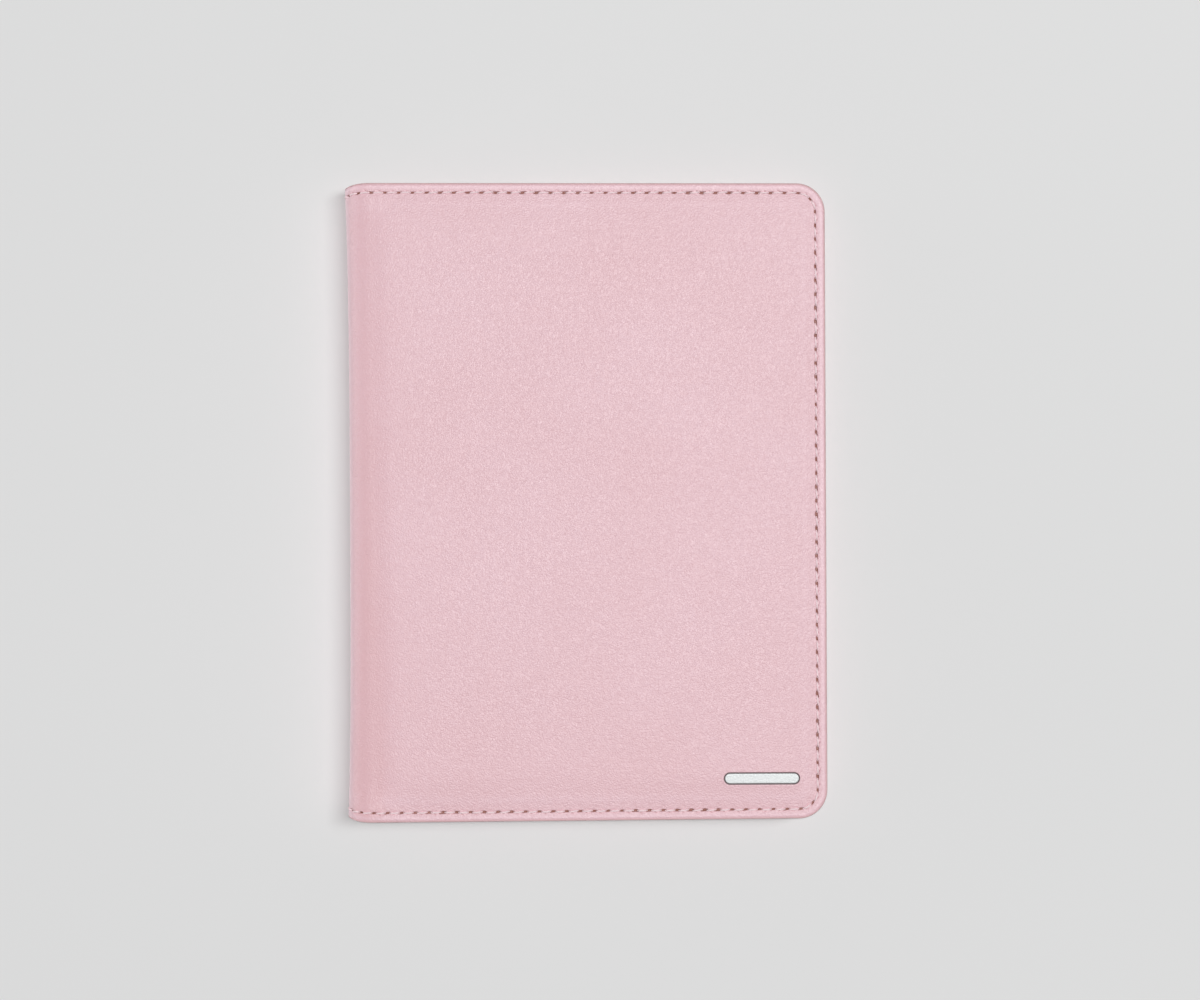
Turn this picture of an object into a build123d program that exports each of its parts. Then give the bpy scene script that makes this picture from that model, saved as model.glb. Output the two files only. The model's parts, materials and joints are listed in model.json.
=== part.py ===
from build123d import *
import math
import os

# A bifold leather passport holder, lying closed on its back cover. The spine is at -X, the
# fore-edge at +X, the head at +Y, and the front cover faces +Z. Millimetres.
#
# Each half is a stack of flat layers. A layer's level is its depth below the half's outer
# face, so level 0 is the resting face of the back half and the top face of the front half.
# The front half is the back half's construction mirrored in the middle plane. A stiffener
# raises a panel of the outer leather on each half, and leaves a lower margin for the seam.
#
# The outer leather and the lining are each one flexible sheet that runs round the spine. They
# are divided where they flex, into a chain of strips that turn about lines on the outer face.

# ---- driving dimensions -------------------------------------------------------------------
WIDTH = 104.5            # spine to fore-edge, closed
HEIGHT = 140.0           # head to foot at the spine
FORE_HEIGHT = 138.9      # head to foot at the fore-edge, which is cut slightly shorter
THICKNESS = 11.8         # closed, over the raised panels
CORNER_R = 6.3           # fore-edge corners of each half

LEATHER = 1.0            # outer leather
PANEL_RISE = 0.6         # raised panel above the stitched margin, filled by the stiffener
LINING = 0.3
SLEEVE = 0.6             # leather of the two passport sleeves
SLEEVE_RISE = 0.4        # room inside a sleeve, above the lining
POCKET = 0.5             # leather of each card pocket
EDGE_FINISH = 0.15       # painted bead round the cut edge

MARGIN = 3.4             # edge to the foot of the raised panel's slope
SLOPE = 1.2              # width of that slope
SPINE_MARGIN = 1.0       # bend line to the foot of the panel's slope on the spine side
SPINE_SLOPE = 4.0        # width of that slope, which is gentler
STIFFENER_GAP = 0.4      # stiffener to the top of the slope

STITCH_INSET = 2.1       # edge to the seam's centre line
STITCH_PITCH = 3.0
STITCH_LENGTH = 1.9
THREAD_R = 0.24

SPINE_STRIPS = 2         # strips that the spine is divided into
FRONT_MOUTH = 7.0        # bend line to the front sleeve's mouth
BACK_MOUTH = 30.0        # bend line to the back sleeve's mouth
NOTCH_R = 9.0            # thumb notch in the back sleeve's mouth
POCKET_MOUTHS = (22.0, 4.0, -14.0)  # height of each card pocket's mouth above mid-height
POCKET_SEAM_TOP = 2.0    # first stitch of the pockets' side seam below the top mouth
POCKET_SEAM_FOOT = 5.0   # last stitch of that seam above the foot

MARK_LENGTH, MARK_WIDTH = 16.2, 2.2
MARK_X, MARK_Y = 37.9, -60.6
MARK_RECESS, MARK_FOIL = 0.2, 0.1   # depth of the stamped recess and thickness of the foil

# ---- worked out from them -----------------------------------------------------------------
MID_Z = THICKNESS / 2
BEND_R = MID_Z - PANEL_RISE             # outer face of the closed spine
BEND_X = -WIDTH / 2 + BEND_R            # bend line, where each flat cover ends
FORE_X = WIDTH / 2
TURN = 180 / (SPINE_STRIPS + 1)         # degrees between two flex lines, and that each turns
STITCH_TURN = 30.0                      # degrees between two stitches round the spine
MARGIN_LEVEL = PANEL_RISE               # outer face of the leather in the margin
LEATHER_BACK = PANEL_RISE + LEATHER     # inner face of the leather in the margin
LINING_BACK = LEATHER_BACK + LINING
SLEEVE_BACK = LINING_BACK + SLEEVE      # inner face of a sleeve in its margin
OVERSHOOT = 40.0                        # how far construction outlines run past the bend line
DEEP = 30.0                             # height of clipping blocks

BEND_AXIS = Axis((BEND_X, 0, MID_Z), (0, 1, 0))

os.makedirs("parts", exist_ok=True)


# ---- helpers ------------------------------------------------------------------------------
def half_height(x):
    """Half the holder's height at x, along its slightly tapered head and foot."""
    share = (x - BEND_X) / (FORE_X - BEND_X)
    return HEIGHT / 2 - share * (HEIGHT - FORE_HEIGHT) / 2


def outline(inset, x_low=BEND_X - OVERSHOOT):
    """A half's outline, moved inwards from the cut edge, from x_low to the fore-edge."""
    x_high = FORE_X - inset
    y_low, y_high = half_height(x_low) - inset, half_height(x_high) - inset
    face = make_face(
        Polyline((x_low, -y_low), (x_high, -y_high), (x_high, y_high), (x_low, y_low), close=True)
    )
    return fillet(face.vertices().group_by(Axis.X)[-1], CORNER_R - inset)


def panel_outline(share, gap=0):
    """The raised panel's outline, share of the way up its slope, and gap further in."""
    inset = MARGIN + SLOPE * share + gap
    face = outline(inset, BEND_X + SPINE_MARGIN + SPINE_SLOPE * share + gap)
    return fillet(face.vertices().group_by(Axis.X)[0], CORNER_R - inset)


def block(x_low=BEND_X, x_high=FORE_X + 1, y_low=-HEIGHT, y_high=HEIGHT):
    """A tall block for clipping a layer to a region of the half."""
    return Pos((x_low + x_high) / 2, (y_low + y_high) / 2, 0) * Box(
        x_high - x_low, y_high - y_low, 2 * DEEP
    )


def plate(inset, level_low, level_high):
    return Pos(0, 0, level_low) * extrude(outline(inset), level_high - level_low)


def raised(level_top, rise):
    """The sloped block that a raised panel adds above its margin, from level_top down by rise."""
    top = Pos(0, 0, level_top) * panel_outline(1)
    foot = Pos(0, 0, level_top + rise) * panel_outline(0)
    return loft([top, foot], ruled=True)


def domed(level, rise):
    """All that lies beyond a sleeve's or pocket's face: the face is at level in the margin, and
    rise further in over the raised part. Two of these cut from each other make a layer."""
    foot = Pos(0, 0, level) * outline(MARGIN)
    top = Pos(0, 0, level + rise) * outline(MARGIN + SLOPE)
    return plate(EDGE_FINISH, 0, level) + loft([foot, top], ruled=True)


def bent(y_low, y_high, level_low, level_high, start, turn):
    """A layer carried round the spine, from start degrees above the back cover."""
    edges = Polyline(
        (y_low, level_low), (y_high, level_low), (y_high, level_high), (y_low, level_high), close=True
    )
    face = Plane(origin=(BEND_X, 0, 0), x_dir=(0, 1, 0), z_dir=(1, 0, 0)) * make_face(edges)
    return revolve(face, BEND_AXIS, turn).rotate(BEND_AXIS, start)


def bent_leather(start, turn):
    end = HEIGHT / 2 - EDGE_FINISH
    return bent(-end, end, MARGIN_LEVEL, LEATHER_BACK, start, turn)


def bent_lining(start, turn):
    end = HEIGHT / 2 - EDGE_FINISH
    return bent(-end, end, LEATHER_BACK, LINING_BACK, start, turn)


def to_front(shape):
    """Turns a piece of the back half into the front half's, mirrored in the middle plane."""
    return mirror(shape, about=Plane.XY.offset(MID_Z))


def write(name, *shapes):
    solids = [solid for shape in shapes for solid in shape.solids()]
    export_step(Compound(children=solids), f"parts/{name}.step")


# ---- outer leather ------------------------------------------------------------------------
def cover_leather():
    """One cover of the outer leather, with the bend as far as the first flex line."""
    skin = plate(EDGE_FINISH, MARGIN_LEVEL, LEATHER_BACK) + raised(0, PANEL_RISE)
    skin -= raised(LEATHER, PANEL_RISE)
    return (skin & block()) + bent_leather(0, TURN / 2)


def mark_shape(depth):
    return Pos(MARK_X, MARK_Y, THICKNESS - depth) * extrude(
        SlotOverall(MARK_LENGTH, MARK_WIDTH), depth
    )


def write_outer_leather():
    back = cover_leather()
    write("outer_cover_back", back)
    write("outer_cover_front", to_front(back) - mark_shape(MARK_RECESS))
    for strip in range(SPINE_STRIPS):
        start = TURN / 2 + TURN * strip
        write(f"outer_cover_spine_{strip + 1}", bent_leather(start, TURN))
    foil = Pos(0, 0, -(MARK_RECESS - MARK_FOIL)) * mark_shape(MARK_FOIL)
    write("foil_bar", foil)


# ---- stiffeners and lining ----------------------------------------------------------------
def stiffener():
    """The board behind one raised panel, between the leather and the lining."""
    return Pos(0, 0, LEATHER) * extrude(panel_outline(1, STIFFENER_GAP), LEATHER_BACK - LEATHER)


def cover_lining():
    flat = plate(EDGE_FINISH, LEATHER_BACK, LINING_BACK) & block()
    return flat + bent_lining(0, TURN / 2)


def write_inner_layers():
    write("stiffener_back", stiffener())
    write("stiffener_front", to_front(stiffener()))
    write("lining_back", cover_lining())
    write("lining_front", to_front(cover_lining()))
    for strip in range(SPINE_STRIPS):
        start = TURN / 2 + TURN * strip
        write(f"lining_spine_{strip + 1}", bent_lining(start, TURN))


# ---- sleeves and card pockets -------------------------------------------------------------
def sleeve_layer(level, thickness, mouth_x, y_high=HEIGHT):
    """A layer of sleeve or pocket leather, stitched at the edge and raised inside it."""
    layer = domed(level + thickness, SLEEVE_RISE) - domed(level, SLEEVE_RISE)
    return layer & block(x_low=mouth_x, y_high=y_high)


def thumb_notch():
    return Pos(BEND_X + BACK_MOUTH, 0, 0) * Cylinder(NOTCH_R, 2 * DEEP)


def write_pockets():
    back_sleeve = sleeve_layer(LINING_BACK, SLEEVE, BEND_X + BACK_MOUTH) - thumb_notch()
    write("passport_sleeve_back", back_sleeve)
    front_mouth = BEND_X + FRONT_MOUTH
    write("passport_sleeve_front", to_front(sleeve_layer(LINING_BACK, SLEEVE, front_mouth)))
    for number, mouth_y in enumerate(POCKET_MOUTHS):
        level = SLEEVE_BACK + number * POCKET
        pocket = sleeve_layer(level, POCKET, front_mouth, mouth_y)
        write(f"card_pocket_{number + 1}", to_front(pocket))


# ---- painted edge -------------------------------------------------------------------------
def edge_bead(level_low, level_high, clip):
    bead = plate(0, level_low, level_high) - plate(EDGE_FINISH, level_low - 1, level_high + 1)
    return bead & clip


def spine_bead(start, turn):
    """The painted edge at the head and the foot of a stretch of the spine."""
    edge = HEIGHT / 2
    inner = edge - EDGE_FINISH
    head = bent(inner, edge, MARGIN_LEVEL, LINING_BACK, start, turn)
    foot = bent(-edge, -inner, MARGIN_LEVEL, LINING_BACK, start, turn)
    return head, foot


def cover_bead():
    bead = edge_bead(MARGIN_LEVEL, LINING_BACK, block())
    for end in spine_bead(0, TURN / 2):
        bead += end
    return bead


def write_edge_finish():
    back = cover_bead() + edge_bead(LINING_BACK, SLEEVE_BACK, block(x_low=BEND_X + BACK_MOUTH))
    write("edge_finish_back", back)
    front_mouth = BEND_X + FRONT_MOUTH
    front = cover_bead() + edge_bead(LINING_BACK, SLEEVE_BACK, block(x_low=front_mouth))
    for number, mouth_y in enumerate(POCKET_MOUTHS):
        level = SLEEVE_BACK + number * POCKET
        front += edge_bead(level, level + POCKET, block(x_low=front_mouth, y_high=mouth_y))
    write("edge_finish_front", to_front(front))
    for strip in range(SPINE_STRIPS):
        start = TURN / 2 + TURN * strip
        write(f"edge_finish_spine_{strip + 1}", *spine_bead(start, TURN))


# ---- stitching ----------------------------------------------------------------------------
def stitch():
    """One visible stitch, lying along X on the face z = 0 and standing up along +Z."""
    section = Circle(THREAD_R) & Pos(0, THREAD_R) * Rectangle(2 * THREAD_R, 2 * THREAD_R)
    return Pos(-STITCH_LENGTH / 2, 0, 0) * extrude(Plane.YZ * section, STITCH_LENGTH)


def seam_places():
    """Where the stitches of one half's seam go, as (x, y, direction in degrees): along the head
    or foot, round the fore-edge and back. Both ends are half a pitch from the bend line."""
    lines = outline(STITCH_INSET).edges().filter_by(lambda e: e.center().X > BEND_X - OVERSHOOT + 1)
    path = Wire(lines)
    lead_in = OVERSHOOT / math.cos(math.atan2((HEIGHT - FORE_HEIGHT) / 2, FORE_X - BEND_X))
    length = path.length - 2 * lead_in
    count = round(length / STITCH_PITCH)
    places = []
    for i in range(count):
        along = (lead_in + (i + 0.5) * length / count) / path.length
        point = path.position_at(along)
        tangent = path.tangent_at(along)
        places.append((point.X, point.Y, math.degrees(math.atan2(tangent.Y, tangent.X))))
    return places


def stitch_out(x, y, direction, level):
    """A stitch on a face that looks outwards, towards level 0."""
    return Pos(x, y, level) * Rot(0, 0, direction) * Rot(180, 0, 0) * stitch()


def stitch_in(x, y, direction, level):
    """A stitch on a face that looks inwards, towards the closed holder's middle."""
    return Pos(x, y, level) * Rot(0, 0, direction) * stitch()


def back_level(x, y):
    """The back half's innermost level in the margin."""
    return SLEEVE_BACK if x > BEND_X + BACK_MOUTH else LINING_BACK


def pockets_over(y):
    """How many card pockets lie over the sleeve at height y."""
    return sum(y < mouth for mouth in POCKET_MOUTHS)


def front_level(x, y):
    """The front half's innermost level in the margin."""
    if x < BEND_X + FRONT_MOUTH:
        return LINING_BACK
    return SLEEVE_BACK + POCKET * pockets_over(y)


def inner_stitches(level_at):
    """The seam's stitches on the inner face. One over a step rests on the higher layer."""
    found = []
    for x, y, direction in seam_places():
        dx = math.cos(math.radians(direction)) * STITCH_LENGTH / 2
        dy = math.sin(math.radians(direction)) * STITCH_LENGTH / 2
        level = max(level_at(x - dx, y - dy), level_at(x + dx, y + dy))
        found.append(stitch_in(x, y, direction, level))
    return found


def bent_stitches_out(angle):
    """The two outer stitches, at the head and the foot, at angle degrees round the spine."""
    end = HEIGHT / 2 - STITCH_INSET
    return [
        stitch_out(BEND_X, y, 0, MARGIN_LEVEL).rotate(BEND_AXIS, angle) for y in (end, -end)
    ]


def bent_stitches_in(angle):
    """The two inner ones. A straight stitch inside the curve stands off it by the sagitta."""
    end = HEIGHT / 2 - STITCH_INSET
    inner_r = MID_Z - LINING_BACK
    sagitta = inner_r - math.sqrt(inner_r**2 - (STITCH_LENGTH / 2 + THREAD_R) ** 2)
    return [
        stitch_in(BEND_X, y, 0, LINING_BACK + sagitta).rotate(BEND_AXIS, angle)
        for y in (end, -end)
    ]


def pocket_seam():
    """The stitches that close the card pockets' side next to the front sleeve's mouth."""
    x = BEND_X + FRONT_MOUTH + STITCH_INSET
    top = POCKET_MOUTHS[0] - POCKET_SEAM_TOP
    foot = -HEIGHT / 2 + POCKET_SEAM_FOOT
    count = round((top - foot) / STITCH_PITCH)
    found = []
    for i in range(count + 1):
        y = top + (foot - top) * i / count
        pockets = pockets_over(y - STITCH_LENGTH / 2)
        found.append(stitch_in(x, y, 90, SLEEVE_BACK + SLEEVE_RISE + POCKET * pockets))
    return found


def write_stitching():
    first = STITCH_TURN / 2
    outer = [stitch_out(x, y, direction, MARGIN_LEVEL) for x, y, direction in seam_places()]
    outer += bent_stitches_out(first)
    write("seam_stitches_back", *outer)
    write("seam_stitches_front", *[to_front(piece) for piece in outer])
    write("seam_stitches_back_inside", *inner_stitches(back_level), *bent_stitches_in(first))
    inner = inner_stitches(front_level) + bent_stitches_in(first)
    write("seam_stitches_front_inside", *[to_front(piece) for piece in inner])
    for strip in range(SPINE_STRIPS):
        pieces = []
        for i in range(round(TURN / STITCH_TURN)):
            angle = TURN / 2 + TURN * strip + STITCH_TURN * (i + 0.5)
            pieces += bent_stitches_out(angle) + bent_stitches_in(angle)
        write(f"seam_stitches_spine_{strip + 1}", *pieces)
    write("pocket_stitches", *[to_front(piece) for piece in pocket_seam()])


write_outer_leather()
write_inner_layers()
write_pockets()
write_edge_finish()
write_stitching()
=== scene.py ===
import json
import math
import bpy
import numpy as np
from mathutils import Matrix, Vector
from mathutils.geometry import delaunay_2d_cdt


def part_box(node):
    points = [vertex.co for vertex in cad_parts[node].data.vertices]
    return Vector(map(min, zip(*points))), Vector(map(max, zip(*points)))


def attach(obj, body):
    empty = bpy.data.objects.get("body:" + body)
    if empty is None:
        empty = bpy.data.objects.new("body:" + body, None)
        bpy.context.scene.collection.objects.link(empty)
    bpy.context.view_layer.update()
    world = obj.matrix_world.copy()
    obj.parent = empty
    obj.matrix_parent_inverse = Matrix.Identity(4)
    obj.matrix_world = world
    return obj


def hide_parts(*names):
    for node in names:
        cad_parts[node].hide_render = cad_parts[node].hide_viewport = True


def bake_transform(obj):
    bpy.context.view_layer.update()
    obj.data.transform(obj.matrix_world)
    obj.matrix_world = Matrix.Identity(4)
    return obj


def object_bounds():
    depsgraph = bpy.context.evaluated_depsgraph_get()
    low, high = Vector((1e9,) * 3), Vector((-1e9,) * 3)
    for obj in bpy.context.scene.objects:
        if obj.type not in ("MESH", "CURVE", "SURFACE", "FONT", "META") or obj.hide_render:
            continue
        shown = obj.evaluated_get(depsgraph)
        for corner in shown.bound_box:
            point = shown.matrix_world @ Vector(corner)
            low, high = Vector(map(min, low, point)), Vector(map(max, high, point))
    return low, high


# A bifold leather passport holder, lying closed on its back cover. The outer leather and the
# lining are each one sheet that runs round the spine. A point on a half is given by s, its
# distance from the bend line towards the fore-edge (negative along the curve of the spine), y,
# and a level, its depth below the half's outer face. The front half is the back half mirrored.
# t is a position along the seam and d is a distance in from the cut edge.
# Lengths in this script are in millimetres until a mesh is made.

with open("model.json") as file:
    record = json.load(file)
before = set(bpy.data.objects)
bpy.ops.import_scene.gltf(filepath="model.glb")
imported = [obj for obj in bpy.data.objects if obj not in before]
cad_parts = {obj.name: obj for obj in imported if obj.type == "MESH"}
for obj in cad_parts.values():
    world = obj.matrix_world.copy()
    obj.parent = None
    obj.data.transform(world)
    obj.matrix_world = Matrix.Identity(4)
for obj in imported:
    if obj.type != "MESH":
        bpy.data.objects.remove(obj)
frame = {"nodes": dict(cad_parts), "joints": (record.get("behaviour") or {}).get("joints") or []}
cad_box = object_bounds()
MM = 0.001

# ---- places from the frame ----------------------------------------------------------------
flex = [Vector(joint["pos_m"]) / MM for joint in frame["joints"]]
MID_Z = flex[1].z                               # half-way between the two covers
BEND_R = 2 * (flex[0].x - flex[1].x)            # outer face of the closed spine
BEND_X = flex[1].x + BEND_R                     # bend line, where each flat cover ends
FORE_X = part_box("edge_finish_back")[1].x / MM
HALF_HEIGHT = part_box("edge_finish_back")[1].y / MM
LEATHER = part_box("stiffener_back")[0].z / MM    # the leather's thickness, up to the board
MARGIN_LEVEL = MID_Z - BEND_R                   # outer face of the leather in the margin
BACK_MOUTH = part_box("passport_sleeve_back")[0].x / MM - BEND_X
FRONT_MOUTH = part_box("passport_sleeve_front")[0].x / MM - BEND_X
POCKET_MOUTHS = [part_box(f"card_pocket_{n}")[1].y / MM for n in (1, 2, 3)]
FOIL_LOW, FOIL_HIGH = (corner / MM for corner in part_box("foil_bar"))

# ---- driving dimensions -------------------------------------------------------------------
FORE_TAPER = 0.55        # how much lower the head is at the fore-edge than at the spine
SPINE_DIP = 0.8          # how much lower it is at the middle of the spine
HEAD_FLARE, FOOT_FLARE = 0.9, 0.75              # how far the spine's two ends spread outwards
HEAD_FADE, FOOT_FADE = 0.16, 0.12               # how fast that fades, as shares of the height
CORNER_R = 6.3           # corners at the fore-edge
LINING, SLEEVE, POCKET = 0.3, 0.6, 0.5          # thickness of the inner layers
MARGIN = 3.4             # width of the pressed-down margin along the seam
FIRST_RISE = 0.2         # share of the panel's rise that comes at once, in a steep step
SLOPE = 1.2              # width of that step
PANEL_REACH = 10.5       # distance in from the cut edge where the panel has its full height
SPINE_SLOPE = 4.0        # width of the rise beside the spine
SLEEVE_RISE = 0.4        # how far sleeves and pockets rise inside the margin
EDGE_DROP, EDGE_ROUND = 0.22, 0.75              # how far, and over what width, the cut edge is rounded
GROOVE_DEPTH, GROOVE_WIDTH = 0.42, 3.8          # the shallow groove beside the spine
GROOVE_PAST = 0.8        # how far round from the bend line that groove is deepest
WAVE_DEPTH = 0.035       # the slow waves in the panels
NOTCH_R = 9.0            # thumb notch in the back sleeve's mouth

STITCH_INSET = 2.1
NOMINAL_PITCH = 3.0
TROUGH_DEPTH, TROUGH_WIDTH = 0.09, 0.5          # how the seam is pulled into the outer leather
THREAD_R = 0.21
THREAD_REACH = 1.05      # middle of a stitch to where its thread enters the leather
THREAD_UP = 0.1          # how far the thread's middle stands off the face
THREAD_DIVE = 0.5        # how much lower its ends are, in their holes
SLANT = 0.10             # rise of a stitch across the seam for each millimetre along it
HOLE_LENGTH, HOLE_WIDTH, HOLE_DEPTH = 1.95, 0.58, 0.42
HOLE_BEND = 0.28         # how much a hole's ends turn towards the cut edge
INNER_HOLE_DEPTH = 0.2   # holes in the sleeves and pockets
LINING_HOLE_DEPTH = 0.15
POCKET_SEAM_TOP, POCKET_SEAM_FOOT = 2.0, 5.0    # ends of the pockets' seam from mouth and foot

LAP = 0.34               # width of the painted edge's lap over the face
RIM_BULGE = 0.07         # how far a sleeve's painted rim is rounded outwards
MARK_RECESS = 0.2        # how deep the bar is stamped
POCKET_OPENING = 0.22    # how far a pocket's mouth stands up in the middle
LINING_GAP = 0.02        # how far the lining's face is below the sleeves

STEPS, INNER_STEPS = 16, 8                      # mesh columns between two stitches
STRIP = 5.0              # width of the fine strip of mesh that follows the seam
FIELD_STEP = 2.0         # between mesh rows of the spine, away from the seam
FREE_STEP = 0.8          # between points along a mouth
BEAD_STEP = 0.35         # between mesh columns of the painted edge
RIM_STEPS = 4            # mesh faces round a sleeve's rim
MOUTH_HALF = 63.0        # how far the rows of points in from a sleeve's mouth go from its middle
GRAIN_UV = 0.01          # texture units for each millimetre of leather

# ---- worked out from them -----------------------------------------------------------------
COVER = FORE_X - BEND_X
LINING_IN = MARGIN_LEVEL + LEATHER + LINING     # the lining's inner level in the margin
SLEEVE_IN = LINING_IN + SLEEVE
HEAD_RUN = COVER - CORNER_R
CORNER_ARC = (CORNER_R - STITCH_INSET) * math.pi / 2
CORNER_Y = HALF_HEIGHT - FORE_TAPER * HEAD_RUN / COVER - CORNER_R
SEAM = 2 * (HEAD_RUN + CORNER_ARC + CORNER_Y)   # length of one half's seam
STITCHES = round(SEAM / NOMINAL_PITCH)
PITCH = SEAM / STITCHES
BEND_PITCH = BEND_R * math.pi / 6
THIRD = BEND_R * math.pi / 3                    # a third of the spine's arc
STRIP_ROWS = np.array(
    [0.12, 0.2, 0.32, 0.46, 0.65, 0.9, 1.15, 1.36, 1.5, 1.6, 1.7, 1.8, 1.9, 2.0, 2.1, 2.2]
    + [2.3, 2.4, 2.5, 2.6, 2.72, 2.9, 3.15, 3.4, 3.65, 3.9, 4.15, 4.4, 4.7, STRIP]
)
LEAF_ROWS = STRIP_ROWS[STRIP_ROWS != 1.36]      # the inner layers need one row fewer
LINING_ROWS = LEAF_ROWS[LEAF_ROWS > 0.25]       # the lining ends inside the painted edge
MOUTH_ROWS = (0.4, 1.0, 2.0, 3.2)               # rows of points in from a mouth
STITCH_SHAPE = np.linspace(-1, 1, 13)[None, :]  # points along a stitch, as shares of its reach
MARK_RINGS = (-0.9, -0.6, -0.3, -0.1, 0, 0.08, 0.16, 0.24, 0.34, 0.5, 0.8, 1.3)
FOIL_HALF = (FOIL_HIGH - FOIL_LOW) / 2
FOIL_S, FOIL_Y = (FOIL_HIGH.x + FOIL_LOW.x) / 2 - BEND_X, (FOIL_HIGH.y + FOIL_LOW.y) / 2


# ---- shape functions ----------------------------------------------------------------------
def ease(low, high, value):
    """0 below low, 1 above high, and smooth between."""
    share = np.clip((value - low) / (high - low), 0, 1)
    return share * share * (3 - 2 * share)


def bell(value, middle, width):
    """1 at the middle, falling smoothly to 0 on both sides."""
    return np.exp(-(((value - middle) / width) ** 2))


def spaced(start, end, step):
    """Values from start to end, about step apart, with both ends."""
    return np.linspace(start, end, max(2, round(abs(end - start) / step) + 1))


def scatter(number, seed):
    """A repeatable value from -1 to 1 for each whole number."""
    return np.modf(np.sin(number * 12.9898 + seed * 78.233) * 43758.5453)[0]


def half_height(s):
    """Half the height of the leather: less at the fore-edge and where the spine bulges most."""
    round_spine = np.sin(np.clip(-s / BEND_R, 0, math.pi)) ** 3
    return HALF_HEIGHT - FORE_TAPER * np.clip(s, 0, COVER) / COVER - SPINE_DIP * round_spine


def inset(s, y):
    """Distance in from the cut edge."""
    past_s, past_y = s - HEAD_RUN, np.abs(y) - CORNER_Y
    rounded = CORNER_R - np.hypot(past_s, past_y)
    straight = np.minimum(half_height(s) - np.abs(y), COVER - s)
    return np.where((past_s > 0) & (past_y > 0), rounded, straight)


def from_bend(s):
    """Distance from the nearer cover's bend line, negative everywhere on the spine."""
    return np.maximum(s, -3 * THIRD - s)


def along_seam(t, d):
    """(s, y) of the point t along the seam, from the bend line at the head round to the one at
    the foot, and d in from the cut edge. Below 0 and above SEAM it runs round the spine."""
    t, d = np.broadcast_arrays(np.asarray(t, float), np.asarray(d, float))
    side = np.where(t > SEAM / 2, -1.0, 1.0)
    t = np.minimum(t, SEAM - t)
    turn = np.clip((t - HEAD_RUN) / (CORNER_R - STITCH_INSET), 0, math.pi / 2)
    down = np.clip(t - HEAD_RUN - CORNER_ARC, 0, None)
    run = np.minimum(t, HEAD_RUN)
    s = run + (CORNER_R - d) * np.sin(turn)
    y = half_height(run) - CORNER_R + (CORNER_R - d) * np.cos(turn) - down
    return s, side * y


def seam_line(t, d):
    """A list of points along the seam, d in from the cut edge."""
    return list(zip(*along_seam(t, d)))


def stitch_count(t):
    """Position along the seam counted in stitches. Holes fall on whole numbers. Round the spine
    it counts from the nearer bend, so the two halves of the spine are mirrored."""
    bent = (np.minimum(t, 0) + np.maximum(t - SEAM, 0)) / BEND_PITCH
    bent = np.sign(bent) * (3 - np.abs(3 - np.abs(bent)))
    return np.clip(t, 0, SEAM) / PITCH + bent


def seam_place(count):
    """The position along the seam that stitch_count gives count for."""
    bent = np.minimum(count, 0) + np.maximum(count - STITCHES, 0)
    return np.clip(count, 0, STITCHES) * PITCH + bent * BEND_PITCH


def hole(along, across, number):
    """How deep in a stitch hole a point is, from 0 to 1, which also sets the hole's painted shade. Holes
    are slanted lenses that differ.
    """
    size = 0.92 + 0.22 * scatter(number, 1)
    p = along + 0.12 * scatter(number, 3)
    q = across - (0.5 * SLANT + 0.12 * scatter(number, 2)) * p
    q = q - HOLE_BEND * p**2 + 0.06
    lens = 1 - (2 * p / (HOLE_LENGTH * size)) ** 2 - (2 * q / (HOLE_WIDTH * size)) ** 2
    # a thin tail beside each hole: sunk a little, with painted shade
    tail = 1 - ((p + 0.4) / 1.6) ** 2 - ((q + 0.02) / 0.16) ** 2
    return np.maximum(ease(0, 0.75, lens), 0.42 * ease(0, 0.8, tail))


def seam_hole(t, d):
    """How deep in one of the seam's holes a point is. It is 0 where t is nan."""
    near = ~np.isnan(t)
    count = stitch_count(np.where(near, t, 0.0))
    number = np.round(count)
    return np.where(near, hole((count - number) * PITCH, STITCH_INSET - d, number), 0.0)


def side_seam():
    """Heights of the stitches that close the card pockets' side."""
    top, foot = POCKET_MOUTHS[0] - POCKET_SEAM_TOP, -HALF_HEIGHT + POCKET_SEAM_FOOT
    return spaced(top, foot, NOMINAL_PITCH)


def side_hole(s, y):
    """How deep in one of the holes of the pockets' side seam a point is."""
    places = side_seam()
    step = abs(places[1] - places[0])
    count = (places[0] + step / 2 - y) / step
    number = np.clip(np.round(count), 0, len(places))
    return hole((count - number) * step, s - FRONT_MOUTH - STITCH_INSET, number + 300)


def flare(y):
    """How far the spine spreads outwards towards its head and foot."""
    down = (HALF_HEIGHT - y) / (2 * HALF_HEIGHT)
    return HEAD_FLARE * np.exp(-down / HEAD_FADE) + FOOT_FLARE * np.exp(-(1 - down) / FOOT_FADE)


def place(s, y, level, front=False):
    """Position of a point of either half, or of the whole spine when s runs past its bend."""
    s, y, level = np.broadcast_arrays(s, y, level)
    angle = np.clip(-s, 0, None) / BEND_R
    radius = MID_Z - level
    x = np.maximum(s, 0) - radius * np.sin(angle) * (1 + flare(y) / BEND_R)
    z = MID_Z - radius * np.cos(angle)
    return np.stack((BEND_X + x, y, 2 * MID_Z - z if front else z), -1)


def mark_distance(s, y):
    """Distance outside the stamped bar's outline."""
    straight = FOIL_HALF.x - FOIL_HALF.y
    past = np.clip(np.abs(s - FOIL_S) - straight, 0, None)
    return np.hypot(past, y - FOIL_Y) - FOIL_HALF.y


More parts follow.
